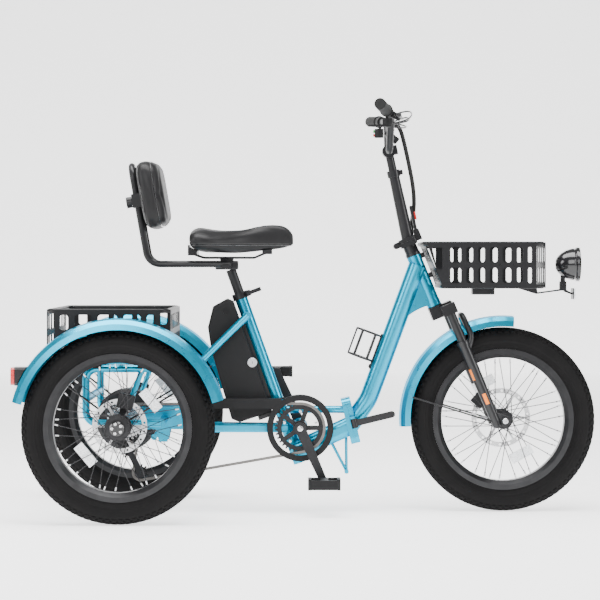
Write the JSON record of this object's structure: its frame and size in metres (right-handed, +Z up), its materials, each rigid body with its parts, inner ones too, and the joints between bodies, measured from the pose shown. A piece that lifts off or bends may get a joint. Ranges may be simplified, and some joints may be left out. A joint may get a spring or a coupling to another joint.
{
  "type": "adult tricycle",
  "caption": "Folding electric adult tricycle with step-through frame, suspension fork, front and rear cargo baskets, padded saddle with backrest, battery behind the seat tube and disc brakes.",
  "frame": {"origin": "on the ground under the middle of the machine's length and width", "axes": "+X forward towards the front wheel, +Y to the rider's left, +Z up"},
  "size_m": [1.728, 0.8, 1.2255],
  "materials": {
    "paint": "metallic turquoise, glossy",
    "black_metal": "satin black",
    "steel": "bright",
    "alloy": "satin",
    "black_plastic": "matt black",
    "gloss_plastic": "gloss black",
    "tyre": "matt black rubber",
    "rubber": "matt black",
    "cover": "soft black cover over foam",
    "red_plastic": "clear red"
  },
  "bodies": {
    "rear_frame": {"seat_tube": "paint", "main_tube": "paint", "rear_frame": "paint", "rear_hinge_half": "paint", "motor_housing": "black_metal", "rear_calipers": "black_metal", "derailleur": "black_metal", "chain": "steel", "chain_guard": "black_plastic", "rear_basket": "black_metal", "rear_basket_floor": "black_metal", "rear_fender_left": "black_plastic", "rear_fender_right": "black_plastic", "tail_lamps": "red_plastic"},
    "front_frame": {"front_hinge_half": "paint", "head_tube": "paint", "down_tube": "paint", "bottle_cage": "black_metal", "front_basket": "black_metal", "headlight_bracket": "black_metal"},
    "frame_latch": {"frame_latch": "black_metal"},
    "headlight": {"headlight": "gloss_plastic"},
    "steering": {"fork_crown": "black_metal", "post_base": "black_metal"},
    "fork_slider": {"fork_lowers": "black_metal", "front_fender": "black_plastic"},
    "front_wheel": {"front_tyre": "tyre", "front_rim": "black_metal", "front_spokes": "steel", "front_hub": "black_metal"},
    "handle_post": {"handle_post": "black_metal", "cable_bundle": "rubber"},
    "post_latch": {"post_latch": "black_metal"},
    "bars": {"handlebar": "black_metal", "grips": "rubber", "bar_controls": "black_plastic"},
    "brake_lever_right": {"brake_lever_right": "black_metal"},
    "brake_lever_left": {"brake_lever_left": "black_metal"},
    "shift_lever": {"shift_lever": "black_plastic"},
    "seat": {"seat_post": "black_metal", "saddle": "cover", "backrest_tube": "black_metal"},
    "backrest": {"backrest_bracket": "black_metal", "backrest_pad": "cover"},
    "seat_lever": {"seat_lever": "black_metal"},
    "battery": {"battery": "black_plastic"},
    "crank": {"crankset": "black_metal"},
    "pedal_right": {"pedal_right": "black_plastic"},
    "pedal_left": {"pedal_left": "black_plastic"},
    "cassette": {"cassette": "steel"},
    "guide_pulley": {"guide_pulley": "black_plastic"},
    "tension_pulley": {"tension_pulley": "black_plastic"},
    "rear_wheel_left": {"rear_tyre_left": "tyre", "rear_rim_left": "black_metal", "rear_spokes_left": "steel", "rear_hub_left": "black_metal"},
    "rear_wheel_right": {"rear_tyre_right": "tyre", "rear_rim_right": "black_metal", "rear_spokes_right": "steel", "rear_hub_right": "black_metal"}
  },
  "joints": [
    {"name": "frame_fold", "type": "hinge", "parent": "rear_frame", "child": "front_frame", "pos_m": [0.122, 0.058, 0.275], "axis": [-0.2368, 0, 0.9715], "range_deg": [0, 100]},
    {"name": "frame_latch_open", "type": "hinge", "parent": "front_frame", "child": "frame_latch", "pos_m": [0.13074, -0.059, 0.27713], "axis": [-0.2368, 0, 0.9715], "range_deg": [-100, 0]},
    {"name": "headlight_tilt", "type": "hinge", "parent": "front_frame", "child": "headlight", "pos_m": [0.769, 0, 0.687], "axis": [0, 1, 0], "range_deg": [-12, 12]},
    {"name": "steering_turn", "type": "hinge", "parent": "front_frame", "child": "steering", "pos_m": [0.37803, 0, 0.62335], "axis": [-0.3851, 0, 0.9229], "range_deg": [-40, 40], "deforming": ["cable_bundle"]},
    {"name": "fork_travel", "type": "slide", "parent": "steering", "child": "fork_slider", "axis": [-0.3851, 0, 0.9229], "range_m": [0, 0.02], "stiffness_N_per_m": 9000, "springref_m": -0.035},
    {"name": "front_wheel_spin", "type": "hinge", "parent": "fork_slider", "child": "front_wheel", "pos_m": [0.585, 0, 0.279], "axis": [0, 1, 0], "continuous": true},
    {"name": "post_fold", "type": "hinge", "parent": "steering", "child": "handle_post", "pos_m": [0.26166, 0, 0.80408], "axis": [0, 1, 0], "range_deg": [-60, 0], "deforming": ["cable_bundle"]},
    {"name": "post_latch_open", "type": "hinge", "parent": "steering", "child": "post_latch", "pos_m": [0.32206, 0, 0.85095], "axis": [0, 1, 0], "range_deg": [0, 70]},
    {"name": "stem_height", "type": "slide", "parent": "handle_post", "child": "bars", "axis": [-0.213, 0, 0.977], "range_m": [-0.036, 0.04], "deforming": ["cable_bundle"]},
    {"name": "brake_pull_right", "type": "hinge", "parent": "bars", "child": "brake_lever_right", "pos_m": [0.25678, -0.22811, 1.18064], "axis": [0.4732, -0.0233, 0.8806], "range_deg": [-12, 0], "stiffness_Nm_per_rad": 1.5, "springref_deg": 11.46},
    {"name": "brake_pull_left", "type": "hinge", "parent": "bars", "child": "brake_lever_left", "pos_m": [0.25678, 0.22811, 1.18064], "axis": [0.4732, 0.0233, 0.8806], "range_deg": [0, 12], "stiffness_Nm_per_rad": 1.5, "springref_deg": -11.46},
    {"name": "shift_push", "type": "hinge", "parent": "bars", "child": "shift_lever", "pos_m": [0.22411, -0.2407, 1.15864], "axis": [0, 0, 1], "range_deg": [-20, 20], "stiffness_Nm_per_rad": 0.2},
    {"name": "seat_height", "type": "slide", "parent": "rear_frame", "child": "seat", "axis": [-0.3371, 0, 0.9415], "range_m": [-0.06, 0.05]},
    {"name": "seat_lever_open", "type": "hinge", "parent": "rear_frame", "child": "seat_lever", "pos_m": [-0.18908, -0.0215, 0.6628], "axis": [-0.3371, 0, 0.9415], "range_deg": [-100, 0]},
    {"name": "backrest_height", "type": "slide", "parent": "seat", "child": "backrest", "axis": [-0.1736, 0, 0.9848], "range_m": [-0.03, 0.03]},
    {"name": "battery_lift", "type": "slide", "parent": "rear_frame", "child": "battery", "axis": [-0.3371, 0, 0.9415], "range_m": [0, 0.06]},
    {"name": "crank_spin", "type": "hinge", "parent": "rear_frame", "child": "crank", "pos_m": [-0.031, 0, 0.2563], "axis": [0, 1, 0], "continuous": true},
    {"name": "cassette_spin", "type": "hinge", "parent": "rear_frame", "child": "cassette", "pos_m": [-0.556, 0, 0.279], "axis": [0, 1, 0], "continuous": true},
    {"name": "guide_pulley_spin", "type": "hinge", "parent": "rear_frame", "child": "guide_pulley", "pos_m": [-0.548, -0.062, 0.19], "axis": [0, 1, 0], "continuous": true},
    {"name": "tension_pulley_spin", "type": "hinge", "parent": "rear_frame", "child": "tension_pulley", "pos_m": [-0.512, -0.062, 0.121], "axis": [0, 1, 0], "continuous": true},
    {"name": "pedal_spin_right", "type": "hinge", "parent": "crank", "child": "pedal_right", "pos_m": [0.04018, 0, 0.09643], "axis": [0, 1, 0], "continuous": true},
    {"name": "pedal_spin_left", "type": "hinge", "parent": "crank", "child": "pedal_left", "pos_m": [-0.10218, 0, 0.41617], "axis": [0, 1, 0], "continuous": true},
    {"name": "rear_wheel_spin_left", "type": "hinge", "parent": "rear_frame", "child": "rear_wheel_left", "pos_m": [-0.556, 0.345, 0.279], "axis": [0, 1, 0], "continuous": true},
    {"name": "rear_wheel_spin_right", "type": "hinge", "parent": "rear_frame", "child": "rear_wheel_right", "pos_m": [-0.556, -0.345, 0.279], "axis": [0, 1, 0], "continuous": true}
  ],
  "couplings": [
    {"joint": "cassette_spin", "follows": "crank_spin", "ratio": 1.5}
  ]
}
